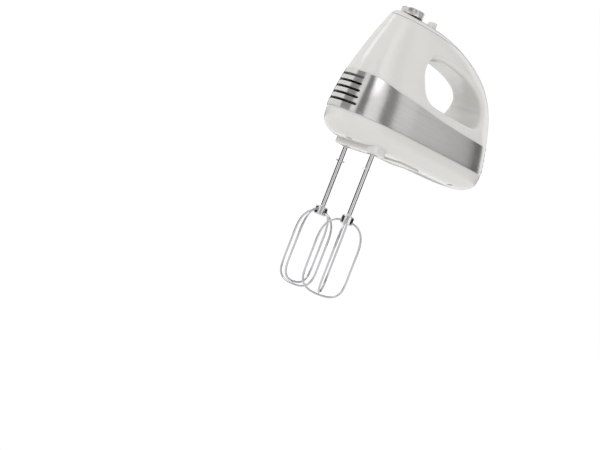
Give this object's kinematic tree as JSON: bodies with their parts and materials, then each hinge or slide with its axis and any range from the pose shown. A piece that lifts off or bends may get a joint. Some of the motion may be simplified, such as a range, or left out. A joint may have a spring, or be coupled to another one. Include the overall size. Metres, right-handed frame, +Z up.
{
  "type": "hand mixer",
  "caption": "Hand-held electric food mixer with a loop handle, slotted steel band, top speed dial, thumb ejector and wire beaters on a worm drive.",
  "frame": {"origin": "middle of the handle, where a hand closes round it", "axes": "+Z up, away from the beaters; -Y towards the nose over the beaters; +Y towards the heel; +X across, to the mixer's right hand side seen from the heel"},
  "size_m": [0.0792, 0.2326, 0.3036],
  "materials": {
    "white_plastic": "glossy white moulding",
    "steel_sheet": "brushed, grain along the body",
    "chrome_shaft": "polished",
    "chrome_wire": "polished round wire",
    "dial_metal": "brushed round the rim",
    "nylon": "natural nylon",
    "black_plastic": "satin",
    "grey_plastic": "satin",
    "motor_steel": "laminated or ground",
    "copper": "bare or enamelled copper",
    "bronze": "sintered",
    "carbon": "pressed graphite",
    "circuit_board": "green laminate",
    "yellow_film": "film capacitor case",
    "screw_steel": "zinc plated"
  },
  "bodies": {
    "housing": {"main_housing": "white_plastic", "top_cover": "white_plastic", "lower_housing": "white_plastic", "rear_grille": "white_plastic", "steel_band": "steel_sheet", "cord_gland": "grey_plastic", "stator_core": "motor_steel", "field_coil_upper": "copper", "field_coil_lower": "copper", "front_bearing": "bronze", "middle_bearing": "bronze", "rear_bearing": "bronze", "spindle_bushing_left": "bronze", "spindle_bushing_right": "bronze", "gearbox_frame": "grey_plastic", "brush_holder_left": "bronze", "brush_holder_right": "bronze", "carbon_brush_left": "carbon", "carbon_brush_right": "carbon", "speed_switch": "black_plastic", "control_board": "circuit_board", "suppression_capacitor": "yellow_film", "terminal_block": "black_plastic", "spring_bracket": "black_plastic", "eject_spring": "screw_steel", "housing_screw_front_left": "screw_steel", "housing_screw_front_right": "screw_steel", "housing_screw_rear_left": "screw_steel", "housing_screw_rear_right": "screw_steel"},
    "rotor": {"motor_shaft": "motor_steel", "commutator": "copper", "armature_core": "motor_steel", "armature_winding_front": "copper", "armature_winding_rear": "copper", "cooling_fan": "black_plastic"},
    "gear_left": {"worm_gear_left": "nylon"},
    "gear_right": {"worm_gear_right": "nylon"},
    "beater_left": {"beater_shaft_left": "chrome_shaft", "beater_loop_outer_left": "chrome_wire", "beater_loop_inner_left": "chrome_wire"},
    "beater_right": {"beater_shaft_right": "chrome_shaft", "beater_loop_outer_right": "chrome_wire", "beater_loop_inner_right": "chrome_wire"},
    "dial": {"speed_dial": "dial_metal"},
    "ejector": {"eject_button": "white_plastic", "ejector_fork": "nylon"}
  },
  "joints": [
    {"name": "rotor_spin", "type": "hinge", "parent": "housing", "child": "rotor", "pos_m": [0, -0.035, -0.084], "axis": [0, 1, 0], "continuous": true},
    {"name": "gear_left_spin", "type": "hinge", "parent": "housing", "child": "gear_left", "pos_m": [-0.019, -0.085, -0.084], "axis": [0, 0, 1], "continuous": true},
    {"name": "gear_right_spin", "type": "hinge", "parent": "housing", "child": "gear_right", "pos_m": [0.019, -0.085, -0.084], "axis": [0, 0, 1], "continuous": true},
    {"name": "beater_left_release", "type": "slide", "parent": "gear_left", "child": "beater_left", "axis": [0, 0, -1], "range_m": [0, 0.005]},
    {"name": "beater_right_release", "type": "slide", "parent": "gear_right", "child": "beater_right", "axis": [0, 0, -1], "range_m": [0, 0.005]},
    {"name": "eject_press", "type": "slide", "parent": "housing", "child": "ejector", "axis": [0, 0, -1], "range_m": [0, 0.005], "stiffness_N_per_m": 4000, "deforming": ["eject_spring"]},
    {"name": "dial_turn", "type": "hinge", "parent": "housing", "child": "dial", "pos_m": [0, -0.085, 0.022], "axis": [0, 0, 1], "range_deg": [-150, 0]}
  ],
  "couplings": [
    {"joint": "gear_left_spin", "follows": "rotor_spin", "ratio": 0.055556},
    {"joint": "gear_right_spin", "follows": "rotor_spin", "ratio": -0.055556},
    {"joint": "beater_left_release", "follows": "eject_press", "ratio": 1},
    {"joint": "beater_right_release", "follows": "eject_press", "ratio": 1}
  ]
}
